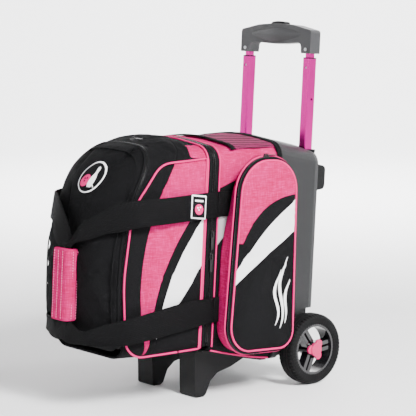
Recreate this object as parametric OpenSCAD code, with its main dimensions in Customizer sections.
// Single ball roller bag: a hard back shell on two wheels and two feet, a
// fabric ball compartment, a hinged front lid with a shoe compartment, two
// side pockets, wrap-around carry straps and a telescoping handle.
// Millimetres. The floor is Z = 0, the front of the bag faces -Y and the
// handle is at +Y. The bag leans back by a few degrees; most sub-parts are
// drawn upright in the bag's own frame, whose origin is on the floor under
// the wheel axle, and are leaned by bag().

/* [Stance] */
// Backward lean of the bag, in degrees
lean = 3.5; // [2:0.5:5]
// Distance from the middle of the footprint back to the wheel axle
axle_y = 201.6; // [200:0.1:203]

/* [Bag] */
// Width of the fabric body across the sides
body_w = 236; // [232:2:244]
// Height of the fabric body's crown above the bag frame's origin
body_top = 440; // [430:1:448]
// Thickness of the padded fabric walls
wall = 5; // [3:0.5:6]
// Depth from the axle forward to the main zipper
split_depth = 245; // [242:1:250]
// Depth from the axle forward to the front edge of the hard shell
shell_depth = 90; // [80:1:94]
// Depth from the axle forward to the tip of the domed front flap
dome_depth = 447; // [440:1:450]

/* [Side pockets] */
// How far a side pocket's gusset stands out from the body
gusset_d = 26.6; // [22:0.2:28]
// Thickness of a side pocket's face flap
flap_t = 9; // [6:0.5:10]

/* [Straps] */
// Width of the carry webbing
webbing_w = 44; // [36:1:46]
// Thickness of the carry webbing
webbing_t = 2.4; // [2:0.2:3]

/* [Handle] */
// Spacing of the two handle tubes
tube_spacing = 161; // [156:1:164]
// Side of the square outer tubes
outer_tube = 23; // [22.8:0.1:24]
// Side of the square middle tubes
mid_tube = 19; // [18:0.1:19.4]
// Side of the square inner tubes
inner_tube = 13; // [12:0.1:14]
// Wall of all handle tubes
tube_wall = 1.2; // [1:0.1:1.4]
// Height of the top of the middle tubes above the bag frame's origin
mid_top = 579; // [560:1:585]

/* [Wheels] */
// Outer diameter of a wheel
wheel_d = 127; // [120:1:130]
// Width of a tyre
tyre_w = 36; // [30:1:38]
// Distance across the outer faces of the two tyres
track = 284; // [276:1:288]
// Diameter of the steel axle
axle_d = 8; // [6:0.5:10]

/* [Hidden] */
$fn = 48;

gap = 0.3;               // clearance between pieces that move apart
hw = body_w / 2;         // half width of the fabric body
split_y = -split_depth;
shell_y = -shell_depth;
shell_back = 17;         // back face of the hard shell
wheel_r = wheel_d / 2;
wheel_in = track / 2 - tyre_w;
wheel_at = [-wheel_r * sin(lean), wheel_r * cos(lean)]; // wheel centre in the bag frame
well_r = wheel_r + 7;    // radius of the wheel wells
well_x = 88;             // half width between the wheel wells
bottom_z = 51;           // lowest line of the bag
bottom_rise = 0.18;      // upward slope of the bottom towards the front
pocket_in = hw + gap;    // inner face of the side pockets
pocket_mid = pocket_in + gusset_d;
foot_x = 59;
screw_y = -222;          // foot screws, measured from the axle
screw_z = 58;            // height of the shelf that a foot screw bears on
strap_x = hw + 8;        // straps hang this far out beside the lid
hinge_y = split_y + 6;   // vertical line on which the straps swing
grip_x = 6;              // centre of the wrap-around grip
grip_y = -(dome_depth + 14);
upper_z = 327;           // middle of the upper webbing at its anchor
lower_z = 147;           // middle of the lower webbing at its anchor
arc_c = [-152.5, 345];   // centre of the side pocket's rounded top, in YZ
arc_r = 63;              // radius there of the gusset's edge
crown_z = 4.9;           // height of a pull's pivot above its slider's base
tube_y = 1.8;            // handle tubes' centre line
shell_top_z = 415;       // shell top where the tubes leave it
collar_depth = 3;        // how deep the tube collars sit in the shell

pink = "#e0458c";
black = "#1d1d20";
grey = "#3b3c3f";
magenta = "#c8248c";
steel = "#b9bcc0";

// ---- placing ----
module at_axle() translate([0, axle_y, 0]) children();
module bag() at_axle() rotate([-lean, 0, 0]) children();
module both_sides() { children(); mirror([1, 0, 0]) children(); }

// A bag-frame point (y, z) in the upright frame of at_axle()
function leaned(p) = [p[0] * cos(lean) + p[1] * sin(lean), p[1] * cos(lean) - p[0] * sin(lean)];

// ---- outlines ----
function unit(v) = v / norm(v);
function turn(a, b, c) = acos(max(-1, min(1, unit(a - b) * unit(c - b))));

// Arc of n steps that rounds the corner b of the path a, b, c with radius r
function corner(a, b, c, r, n) =
    r <= 0 ? [b] :
    let (
        half = turn(a, b, c) / 2,
        bis = unit(unit(a - b) + unit(c - b)),
        mid = b + bis * r / sin(half),
        p0 = b + unit(a - b) * r / tan(half),
        p1 = b + unit(c - b) * r / tan(half),
        a0 = atan2(p0[1] - mid[1], p0[0] - mid[0]),
        a1 = atan2(p1[1] - mid[1], p1[0] - mid[0]),
        d = (a1 - a0 + 540) % 360 - 180
    )
    [for (i = [0:n]) mid + r * [cos(a0 + d * i / n), sin(a0 + d * i / n)]];

// Closed outline through the corners p, each rounded by its radius in r
function rounded(p, r, n = 6) =
    let (m = len(p))
    [for (i = [0:m - 1]) each corner(p[(i + m - 1) % m], p[i], p[(i + 1) % m], r[i], n)];

// Cross-section of the bag: flat sides, rounded shoulders and a low crown
function arch(w, low, top, drop = 14, shoulder = 30, foot = 16) = rounded(
    [[-w, low], [w, low], [w, top - drop], [0, top + drop * 0.1], [-w, top - drop]],
    [foot, foot, shoulder, 400, shoulder]
);

// Outline of the side pocket in YZ, grown outwards by g
function pocket(g) = rounded(
    [[-86 + g, 403 + g], [-208 - g, 403 + g], [-222 - g, 76 - g], [-75 + g, 76 - g]],
    [54 + g, 58 + g, 46 + g, 30 + g], 8
);

function square_outline(s, r) = rounded(
    [[-s, -s] / 2, [s, -s] / 2, [s, s] / 2, [-s, s] / 2], [r, r, r, r], 4
);

// ---- extrusions in the bag frame ----
// Outline in XZ, between two Y values
module along_y(outline, y0, y1)
    translate([0, max(y0, y1), 0]) rotate([90, 0, 0])
        linear_extrude(abs(y1 - y0)) polygon(outline);

// Outline in YZ, between two X values
module along_x(outline, x0, x1)
    translate([x0, 0, 0]) rotate([90, 0, 90]) linear_extrude(x1 - x0) polygon(outline);

// Cylinder along X about the point (y, z)
module rod_x(x0, x1, r, y = 0, z = 0)
    translate([x0, y, z]) rotate([0, 90, 0]) cylinder(h = x1 - x0, r = r);

module box(low, high) translate(low) cube(high - low);

// ---- hard shell and base ----
// Outer volume of the back shell, shrunk by s; it narrows towards the back
module shell_volume(s) {
    hull() {
        along_y(arch(hw + 2 - s, bottom_z - 3 + s, body_top + 4 - s), shell_y, shell_y + 1);
        along_y(arch(110 - s, bottom_z - 3 + s, 430 - s, 16, 26), 0, 1);
        along_y(arch(106 - s, bottom_z + s, 427 - s, 16, 24), 11 - s, 12 - s);
        along_y(arch(96 - s, bottom_z + 8 + s, 418 - s, 16, 16), 16 - s, shell_back - s);
    }
}

module wheel_well(x, r) {
    both_sides() {
        rod_x(x, 130, r, wheel_at[0], wheel_at[1]);
        box([x, wheel_at[0], 0], [130, 60, wheel_at[1] + r]);
    }
}

module back_shell() {
    color(grey) bag() difference() {
        union() {
            difference() {
                shell_volume(0);
                translate([0, -0.01, 0]) shell_volume(3);
                box([-hw + wall, shell_y - 1, bottom_z + 3], [hw - wall, shell_y + 3, 400]);
            }
            intersection() {
                shell_volume(0);
                wheel_well(well_x - 3, well_r + 3);
            }
        }
        wheel_well(well_x, well_r);
        both_sides() {
            rod_x(80, 100, axle_d / 2 + 0.1, wheel_at[0], wheel_at[1]);
            translate([tube_spacing / 2, tube_y, 380])
                linear_extrude(80) polygon(square_outline(outer_tube + 0.2, 4.2));
            translate([tube_spacing / 2, tube_y, shell_top_z - collar_depth - 0.1])
                linear_extrude(80) polygon(square_outline(outer_tube + 6.2, 6.2));
            // seat of a side pocket
            along_x(pocket(5 + gap), hw + 0.1, hw + 5);
        }
    }
}

module rear_bumper() {
    outline = rounded([[16.4, 344], [38, 347], [38, 388], [16.4, 392]], [0, 9, 9, 0]);
    color(black) bag() difference() {
        along_x(outline, -98, 98);
        translate([0, 0, 368]) rotate([0, 90, 0]) translate([0, 28, -60]) cylinder(h = 120, r = 3);
        shell_volume(0);
    }
}

function under(y) = bottom_z + max(0, -105 - y) * bottom_rise;

module base_plate() {
    front = -238;
    outline = [
        [shell_y - 1, under(shell_y) - 4.5], [-105, bottom_z - 4.5], [front, under(front) - 4.5],
        [front, under(front) - 0.5], [-105, bottom_z - 0.5], [shell_y - 1, under(shell_y) - 0.5]
    ];
    color(black) difference() {
        bag() along_x(outline, -104, 104);
        at_axle() both_sides() translate([foot_x, screw_y, 0]) cylinder(h = 120, r = 2.05);
    }
}

// A moulded foot: an upright front edge, a flat sole and a long swept heel
module foot(x) {
    front = leaned([-236, under(-236) - 4.6]);
    heel = leaned([-120, under(-120) - 4.6]);
    outline = [
        front, [front[0] + 1, 3], [front[0] + 4, 0], [-212, 0], [-206, 4],
        [-196, 26], [-180, 38], [-150, 44], heel
    ];
    color(black) at_axle() difference() {
        along_x(outline, x - 21, x + 21);
        for (side = [-1, 1])
            translate([x + side * 21, -160, 0]) rotate([0, side * 5, 0])
                box([side > 0 ? 0 : -20, -120, -10], [side > 0 ? 20 : 0, 120, 90]);
        translate([x, screw_y, -1]) cylinder(h = screw_z + 1, r = 3.6);
        translate([x, screw_y, 0]) cylinder(h = 120, r = 2.05);
    }
}

module foot_right() { foot(foot_x); }
module foot_left() { foot(-foot_x); }

module foot_screws() {
    color(steel) at_axle() both_sides() translate([foot_x, screw_y, screw_z]) {
        translate([0, 0, -2.5]) cylinder(h = 2.5, r = 3.4);
        translate([0, 0, -0.1]) cylinder(h = 24, r = 2);
    }
}

// ---- axle and wheels ----
module axle() {
    color(steel) at_axle() rod_x(-track / 2 + 3, track / 2 - 3, axle_d / 2, 0, wheel_r);
}

module axle_housing() {
    color(black) at_axle() difference() {
        rod_x(3 - well_x, well_x - 3, axle_d / 2 + 4, 0, wheel_r);
        rod_x(-well_x, well_x, axle_d / 2 + 0.02, 0, wheel_r);
    }
}

module axle_spacers() {
    color(steel) at_axle() both_sides() difference() {
        rod_x(well_x + 0.1, wheel_in - 0.3, axle_d / 2 + 3, 0, wheel_r);
        rod_x(well_x - 1, wheel_in, axle_d / 2 + 0.02, 0, wheel_r);
    }
}

// Turned ring about the axle; the outline is in (radius, distance along X)
module turned(outline)
    at_axle() translate([wheel_in, 0, wheel_r]) rotate([0, 90, 0])
        rotate_extrude($fn = 96) polygon(outline);

rim_r = 46;

module tyre() {
    outline = rounded(
        [[rim_r, 3], [wheel_r - 5, 0], [wheel_r, 9], [wheel_r, tyre_w - 9],
            [wheel_r - 5, tyre_w], [rim_r, tyre_w - 3]],
        [0, 6, 8, 8, 6, 0]
    );
    color(black) turned(outline);
}

module rim() {
    hub_r = 13;
    color("#111113") difference() {
        union() {
            turned([[rim_r - 5, 4], [rim_r, 4], [rim_r, tyre_w - 4], [rim_r - 5, tyre_w - 4]]);
            turned([[0, 2], [hub_r, 2], [hub_r, tyre_w - 4], [0, tyre_w - 4]]);
            at_axle() translate([0, 0, wheel_r]) for (a = [35, 155, 275])
                rotate([a, 0, 0]) for (s = [-1, 1])
                    box([wheel_in + 12, s * 5.5 - 3.5, hub_r - 2],
                        [wheel_in + tyre_w - 8, s * 5.5 + 3.5, rim_r - 4]);
        }
        at_axle() rod_x(wheel_in - 1, track / 2 + 1, axle_d / 2 + 0.05, 0, wheel_r);
    }
}

module cap() {
    color(pink) at_axle() difference() {
        translate([track / 2 - 3.9, 0, wheel_r]) rotate([0, 90, 0]) union() {
            cylinder(h = 5, r = 12);
            for (a = [35, 155, 275]) rotate([0, 0, 180 - a]) translate([12, 0, 0]) {
                cylinder(h = 3.6, r = 7.5);
            }
        }
        rod_x(track / 2 - 5, track / 2 - 1.4, axle_d / 2 + 0.2, 0, wheel_r);
    }
}

module tyre_right() { tyre(); }
module tyre_left() { mirror([1, 0, 0]) tyre(); }
module rim_right() { rim(); }
module rim_left() { mirror([1, 0, 0]) rim(); }
module cap_right() { cap(); }
module cap_left() { mirror([1, 0, 0]) cap(); }

// ---- ball compartment ----
module rear_volume(s) {
    side = [
        [shell_y, bottom_z + s], [-105, bottom_z + s], [split_y + 0.15, under(split_y) + s],
        [split_y + 0.15, body_top - 8 - s], [shell_y, body_top - s]
    ];
    intersection() {
        along_y(arch(hw - s, bottom_z + s, body_top - s), shell_y, split_y + 0.15);
        along_x(side, -hw, hw);
    }
}

module rear_body() {
    color(pink) bag() difference() {
        rear_volume(0);
        intersection() {
            translate([0, 0.3, 0]) rear_volume(wall);
            union() {
                rear_volume(wall);
                box([-hw, shell_y - 5, 0], [hw, shell_y + 5, 500]);
            }
        }
        box([-hw + wall, split_y - 1, 110], [hw - wall, split_y + wall, body_top - 40]);
    }
}

module back_liner() {
    color(black) bag() difference() {
        along_y(arch(99, bottom_z + 12, 410, 12, 20, 8), -14, -17.5);
        wheel_well(well_x - 3.3, well_r + 3.3);
    }
}

module ball_cup() {
    color(grey) bag() difference() {
        intersection() {
            box([-84, -220, bottom_z + wall + 15], [84, -22, bottom_z + wall + 56]);
            translate([0, -126, 0]) cylinder(h = 200, r = 118);
        }
        translate([0, -126, bottom_z + 128]) sphere(r = 108, $fn = 96);
        translate([0, -126, 0]) cylinder(h = 200, r = 30);
        along_x([[-230, 40], [-230, under(-230) + wall + 1], [-105, bottom_z + wall + 1],
            [0, bottom_z + wall + 1], [0, 40]], -100, 100);
    }
}

module top_mesh() {
    color("#7a2a50") bag() intersection() {
        difference() {
            along_y(arch(hw, 60, body_top + 2), shell_y - 8, -198);
            translate([0, 1, 0]) along_y(arch(hw, 60, body_top + 0.3), shell_y, -210);
        }
        box([-104, -198, 380], [104, shell_y - 8, 480]);
    }
}

// Band that follows the bag's section, from the height low upwards
module band(y0, y1, t, low, top) {
    difference() {
        along_y(arch(hw + t, 20, top + t), y0, y1);
        along_y(arch(hw + 0.1, 20, top + 0.1), y0 + 1, y1 - 1);
        box([-200, y1 - 1, 0], [200, y0 + 1, low]);
    }
}

module rear_binding() {
    color(black) bag() band(shell_y - 0.2, shell_y - 7.5, 2, 394, body_top);
}

module main_zip_rear() {
    color(black) bag() band(split_y + 11, split_y + 0.15, 1.6, 96, body_top);
}

module gusset(side) {
    color(pink) bag() difference() {
        along_x(pocket(5), side > 0 ? pocket_in : -pocket_mid, side > 0 ? pocket_mid : -pocket_in);
        along_x(pocket(5 - 3.5), side > 0 ? pocket_in + 2 : -pocket_mid - 1,
            side > 0 ? pocket_mid + 1 : -pocket_in - 2);
    }
}

module gusset_right() { gusset(1); }
module gusset_left() { gusset(-1); }

module strap_anchors() {
    half = webbing_w / 2;
    color(black) bag() both_sides() for (z = [upper_z, lower_z]) {
        box([hw + 0.1, hinge_y + 6, z - half], [hw + 2, hinge_y + 7.5, z + half]);
        box([hw + 1.9, hinge_y + 6, z - half], [hw + 4.3, hinge_y + 10, z + half]);
        box([hw + 4.3, hinge_y + 3.5, z - half], [hw + 7, hinge_y + 10, z + half]);
    }
}

// ---- lid with the shoe compartment ----
lid_y = split_y - gap / 2;

// Side outline of the lid up to the front zipper, grown inwards by s
function lid_side(s) = rounded(
    [[lid_y + s, 76 + s], [-345 + s / 2, 74 + s], [-404 + s, 80 + s], [-414 + s, 220],
        [-398 + s, 325 - s / 2], [-346 + s / 2, 428 - s], [lid_y + s, 433 - s]],
    [0, 0, 20, 60, 60, 4, 0]
);

function lid_plan(s) = [
    [-hw + s, lid_y], [-hw + 8 + s, -330], [-100 + s, -418], [100 - s, -418],
    [hw - 8 - s, -330], [hw - s, lid_y]
];

module lid_volume(s) {
    intersection() {
        along_y(arch(hw - s, 70 + s, 434 - s), lid_y, -420);
        along_x(lid_side(s), -hw, hw);
        linear_extrude(500) polygon(lid_plan(s));
    }
}

module lid_shell() {
    color(pink) bag() difference() {
        lid_volume(0);
        lid_volume(wall);
        // open front and open back
        intersection() {
            box([-96, -430, 86], [96, -330, 412]);
            translate([0, -12, 0]) lid_volume(wall + 1);
        }
        box([-hw + wall + 4, lid_y - wall - 2, 90], [hw - wall - 4, lid_y + 2, 396]);
    }
}

module divider_panel() {
    color(black) bag() box([-hw + wall + 4.1, lid_y - 4, 90.1], [hw - wall - 4.1, lid_y - 0.2, 395.9]);
}

module main_zip_front() {
    color(black) bag() band(lid_y, lid_y - 11, 1.6, 96, 436);
}

// Front zipper: a strip along the lid's front rim, and its partner on the flap
module front_zip_lid() {
    color(black) bag() intersection() {
        difference() {
            along_y(arch(98, 76, 426.5, 8, 40, 30), -330, -425);
            along_y(arch(94, 80, 420, 8, 38, 28), -320, -430);
        }
        difference() {
            translate([0, -4, 0]) along_x(lid_side(0), -100, 100);
            along_x(lid_side(0), -101, 101);
        }
        box([-100, -430, 100], [100, -330, 440]);
    }
}

// Dome of the front flap, shrunk by s
function dome_side(s) = rounded(
    [[-355, 425 - s], [-388 + s / 2, 416 - s], [-434 + s, 352], [-dome_depth + s, 262],
        [-dome_depth + s, 150], [-420 + s, 84 + s], [-404, 82 + s]],
    [0, 40, 60, 120, 90, 20, 0]
);

module dome_volume(s) {
    intersection() {
        along_y(arch(94 - s, 80 + s, 425 - s, 10, 46, 34), -340, -460);
        along_x(dome_side(s), -100, 100);
        linear_extrude(500) polygon(rounded(
            [[-94 + s, -330], [-94 + s, -dome_depth + 6 + s], [0, -dome_depth - 3 + s],
                [94 - s, -dome_depth + 6 + s], [94 - s, -330]],
            [0, 42, 300, 42, 0]
        ));
    }
}

module behind_flap(g) {
    translate([0, -4 - g, 0]) along_x(lid_side(0), -150, 150);
}

module front_flap() {
    color(black) bag() difference() {
        dome_volume(0);
        dome_volume(wall - 1);
        translate([0, -gap - 3, 0]) behind_flap(gap);
    }
}

module front_zip_flap() {
    color(black) bag() intersection() {
        difference() {
            dome_volume(-1.5);
            dome_volume(0);
        }
        difference() {
            translate([0, -8 - gap, 0]) behind_flap(gap);
            translate([0, -gap - 3, 0]) behind_flap(gap);
        }
        box([-100, -460, 100], [100, -340, 440]);
    }
}

// ---- side flaps ----
module side_flap(side) {
    x0 = pocket_mid + gap;
    color(pink) bag() mirror([side > 0 ? 0 : 1, 0, 0]) {
        along_x(pocket(3), x0 + 3, x0 + flap_t - 2);
        along_x(pocket(0), x0 + flap_t - 2, x0 + flap_t);
    }
}

module side_zip(side) {
    x0 = pocket_mid + gap;
    color(black) bag() mirror([side > 0 ? 0 : 1, 0, 0]) difference() {
        along_x(pocket(4.5), x0, x0 + 3);
        along_x(pocket(-2), x0 - 1, x0 + 4);
    }
}

module side_flap_right() { side_flap(1); }
module side_flap_left() { side_flap(-1); }
module side_zip_right() { side_zip(1); }
module side_zip_left() { side_zip(-1); }

// ---- carry straps ----
strap_apart = 2.9;       // offset of each webbing from the middle of the grip
grip_foot = 128;         // lower end of the wrap-around grip
grip_top = 248;          // upper end of the wrap-around grip

// One station of a strap: centre, direction of the width, half width
function strap_route(x, y) = [
    [[strap_x, hinge_y - 2, upper_z], [0, 0, 1], 1],
    [[strap_x, -300, upper_z - 5], [0, 0, 1], 1],
    [[strap_x - 2, -360, upper_z - 9], [0, 0, 1], 1],
    [[strap_x - 9, -408, upper_z - 12], [0, 0, 1], 1],
    [[98, -446, upper_z - 18], [-0.2, 0, 1], 1],
    [[64, -466, upper_z - 34], [-0.5, 0, 0.86], 0.9],
    [[34, y - 1, upper_z - 56], [-0.57, 0, 0.82], 0.7],
    [[x + 4, y, grip_top + 7], [-0.75, 0, 0.66], 0.5],
    [[x, y, grip_top - 9], [1, 0, 0], 0.5],
    [[x, y, grip_foot + 12], [1, 0, 0], 0.5],
    [[x + 4, y, grip_foot - 14], [0.81, 0, 0.58], 0.5],
    [[34, y - 1, grip_foot - 27], [0.23, 0, 0.97], 0.7],
    [[64, -466, grip_foot - 27], [0, 0, 1], 0.9],
    [[98, -446, lower_z - 40], [0, 0, 1], 1],
    [[strap_x - 9, -408, lower_z - 28], [0, 0, 1], 1],
    [[strap_x - 2, -360, lower_z - 18], [0, 0, 1], 1],
    [[strap_x, -300, lower_z - 5], [0, 0, 1], 1],
    [[strap_x, hinge_y - 2, lower_z], [0, 0, 1], 1]
];

module station(p, before, after) {
    t = unit(after - before);
    w = unit(p[1] - t * (p[1] * t));
    n = cross(t, w);
    multmatrix([
        [t[0], w[0], n[0], p[0][0]],
        [t[1], w[1], n[1], p[0][1]],
        [t[2], w[2], n[2], p[0][2]],
        [0, 0, 0, 1]
    ]) cube([1, webbing_w * p[2], webbing_t], center = true);
}

module strap(x, y) {
    r = strap_route(x, y);
    last = len(r) - 1;
    for (i = [0:last - 1]) hull() {
        station(r[i], r[max(i - 1, 0)][0], r[i + 1][0]);
        station(r[i + 1], r[i][0], r[min(i + 2, last)][0]);
    }
}

module strap_right() { color(black) bag() strap(grip_x, grip_y + strap_apart); }
module strap_left() { color(black) bag() mirror([1, 0, 0]) strap(-grip_x, grip_y - strap_apart); }

module grip_wrap() {
    c = [grip_x, grip_y];
    color(pink) bag() translate([c[0], c[1], grip_foot]) linear_extrude(grip_top - grip_foot) difference() {
        polygon(rounded([[-20, -14], [22, -14], [22, 13.4], [-20, 13.4]], [9, 12, 12, 9]));
        polygon([[-30, -7.4], [17, -7.4], [17, 6], [-30, 6]]);
    }
}

// ---- telescoping handle ----
module tube(side, thick, z0, z1) {
    translate([tube_spacing / 2, tube_y, z0]) linear_extrude(z1 - z0) difference() {
        polygon(square_outline(side, 4 * side / mid_tube));
        polygon(square_outline(side - 2 * thick, 4 * side / mid_tube - thick * 0.8));
    }
}

mid_len = 275;

module outer_tubes() {
    color(steel) bag() both_sides() tube(outer_tube, tube_wall, 142, shell_top_z - collar_depth);
}

module tube_collars() {
    cavity = mid_tube + 0.5;
    color(black) bag() both_sides() difference() {
        tube(outer_tube + 6, 3 + tube_wall, shell_top_z - collar_depth, shell_top_z + 2.5);
        translate([tube_spacing / 2, tube_y, 300])
            linear_extrude(200) polygon(square_outline(cavity, 4));
    }
}

module mid_tubes() {
    color(magenta) bag() both_sides() difference() {
        tube(mid_tube, tube_wall, mid_top - mid_len, mid_top);
        for (z = [mid_top - 16, mid_top - 230])
            translate([tube_spacing / 2, tube_y, z]) rotate([90, 0, 0]) cylinder(h = 20, r = 2.6);
        rod_x(tube_spacing / 2, tube_spacing / 2 + 20, 2, tube_y, mid_top - 72);
    }
}

module mid_collars() {
    color(black) bag() both_sides() tube(mid_tube, 2.8, mid_top, mid_top + 2);
}

inner_low = mid_top - 268;

module inner_tubes() {
    color(magenta) bag() both_sides() tube(inner_tube, tube_wall, inner_low, mid_top + 34);
}

module detent_buttons() {
    color(steel) bag() both_sides() translate([tube_spacing / 2, tube_y - inner_tube / 2, mid_top - 16])
        rotate([90, 0, 0]) cylinder(h = 1.5, r = 2.2);
}

grip_low = mid_top + 9;
grip_outline = rounded(
    [[-92.5, grip_low], [-69, grip_low], [-67, grip_low + 19], [0, grip_low + 15],
        [67, grip_low + 19], [69, grip_low], [92.5, grip_low], [92.5, grip_low + 41],
        [46, grip_low + 50], [0, grip_low + 53], [-46, grip_low + 50], [-92.5, grip_low + 41]],
    [2, 2, 8, 200, 8, 2, 2, 6, 60, 60, 60, 6]
);

// Crossbar belly, a low lens that fills the palm
module belly() {
    intersection() {
        along_y(grip_outline, -18, 24);
        translate([0, tube_y, grip_low + 33]) rotate([0, 90, 0]) rotate_extrude($fn = 64)
            polygon(rounded([[0, -68], [12, -68], [19, 0], [12, 68], [0, 68]], [0, 8, 160, 8, 0]));
    }
}

module grip_solid() {
    difference() {
        union() {
            along_y(grip_outline, tube_y - 12, tube_y + 12);
            belly();
        }
        both_sides() translate([tube_spacing / 2, tube_y, grip_low - 1])
            linear_extrude(27) polygon(square_outline(inner_tube + 0.1, 2.8));
        box([-18.4, tube_y - 6.9, grip_low + 34], [18.4, tube_y + 6.9, grip_low + 70]);
        translate([0, tube_y, grip_low + 26]) cylinder(h = 20, r = 4);
        both_sides() translate([tube_spacing / 2, 0, grip_low + 7]) rotate([90, 0, 0])
            translate([0, 0, -30]) cylinder(h = 60, r = 1.55);
    }
}

module grip_front() {
    color(black) bag() intersection() {
        grip_solid();
        box([-120, tube_y - 40, 500], [120, tube_y, 700]);
    }
}

module grip_rear() {
    color(black) bag() intersection() {
        grip_solid();
        box([-120, tube_y, 500], [120, tube_y + 40, 700]);
    }
}

module grip_screws() {
    color(steel) bag() both_sides()
        translate([tube_spacing / 2, tube_y - 12, grip_low + 7]) rotate([90, 0, 0]) {
            cylinder(h = 1.2, r = 3);
            translate([0, 0, -5.3]) cylinder(h = 6, r = 1.5);
        }
}

module handle_button() {
    outline = rounded([[-18, 0], [18, 0], [18, 15], [0, 17.5], [-18, 15]], [0, 0, 4, 60, 4]);
    color("#17171a") bag() translate([0, 0, grip_low + 40])
        along_y(outline, tube_y - 6.5, tube_y + 6.5);
}

module button_spring() {
    color(steel) bag() translate([0, tube_y, grip_low + 26.1]) difference() {
        cylinder(h = 13.8, r = 3.4);
        translate([0, 0, -1]) cylinder(h = 20, r = 2.4);
    }
}

// ---- zipper sliders and pulls, drawn with the tape in the XY plane ----
// Body of a slider, 9 wide along Y and 12 long along X, with a crown on top
module slider() {
    translate([0, 0, 1.6]) linear_extrude(2.2)
        polygon(rounded([[-6, -3], [6, -4.4], [6, 4.4], [-6, 3]], [1.5, 2, 2, 1.5]));
    for (x = [-3, 3]) box([x - 1, -1.2, 3.6], [x + 1, 1.2, 6.2]);
    box([-4, -1.2, 6.1], [4, 1.2, 7.3]);
}

// Thin enough to turn under the crown
pull_t = 1.2;

// Pull tab along +X whose eye passes under the crown; the pivot is the origin
module pull(l) {
    translate([0, 0, -pull_t / 2]) linear_extrude(pull_t) difference() {
        polygon(rounded([[-0.7, -3.2], [l, -2.6], [l, 2.6], [-0.7, 3.2]], [0.3, 2, 2, 0.3]));
        polygon([[0.65, -1.7], [5, -1.7], [5, 1.7], [0.65, 1.7]]);
    }
}

// Main zipper: height above the tape along +X, travel along Z
module on_side(z) translate([hw + 0.3, split_y, z]) rotate([0, 90, 0]) children();
module lifted() translate([0, 0, crown_z]) children();

upper_slider_z = 276;
lower_slider_z = 238;
front_slider_at = [30, -350, 426.8];

module main_slider_upper() { color(black) bag() on_side(upper_slider_z) slider(); }
module main_slider_lower() { color(black) bag() on_side(lower_slider_z) slider(); }
module main_pull_upper() { color(black) bag() on_side(upper_slider_z) lifted() pull(26); }
module main_pull_lower() { color(black) bag() on_side(lower_slider_z) lifted() pull(26); }

module front_slider() { color(black) bag() translate(front_slider_at) slider(); }
module front_pull() { color(black) bag() translate(front_slider_at) lifted() pull(24); }

module on_pocket(side)
    mirror([side > 0 ? 0 : 1, 0, 0]) translate([pocket_mid, arc_c[0], arc_c[1] + arc_r - 1.2])
        rotate([0, 0, 90]) children();

module side_slider_right() { color(black) bag() on_pocket(1) slider(); }
module side_slider_left() { color(black) bag() on_pocket(-1) slider(); }
module side_pull_right() { color(black) bag() on_pocket(1) lifted() pull(24); }
module side_pull_left() { color(black) bag() on_pocket(-1) lifted() pull(24); }

back_shell();
rear_bumper();
base_plate();
foot_right();
foot_left();
foot_screws();
axle();
axle_housing();
axle_spacers();
rear_body();
back_liner();
ball_cup();
top_mesh();
rear_binding();
main_zip_rear();
gusset_right();
gusset_left();
strap_anchors();
outer_tubes();
tube_collars();
lid_shell();
divider_panel();
main_zip_front();
front_zip_lid();
front_flap();
front_zip_flap();
side_flap_right();
side_flap_left();
side_zip_right();
side_zip_left();
strap_right();
grip_wrap();
strap_left();
mid_tubes();
mid_collars();
inner_tubes();
detent_buttons();
grip_front();
grip_rear();
grip_screws();
handle_button();
button_spring();
tyre_right();
tyre_left();
rim_right();
rim_left();
cap_right();
cap_left();
main_slider_upper();
main_slider_lower();
main_pull_upper();
main_pull_lower();
front_slider();
front_pull();
side_slider_right();
side_slider_left();
side_pull_right();
side_pull_left();
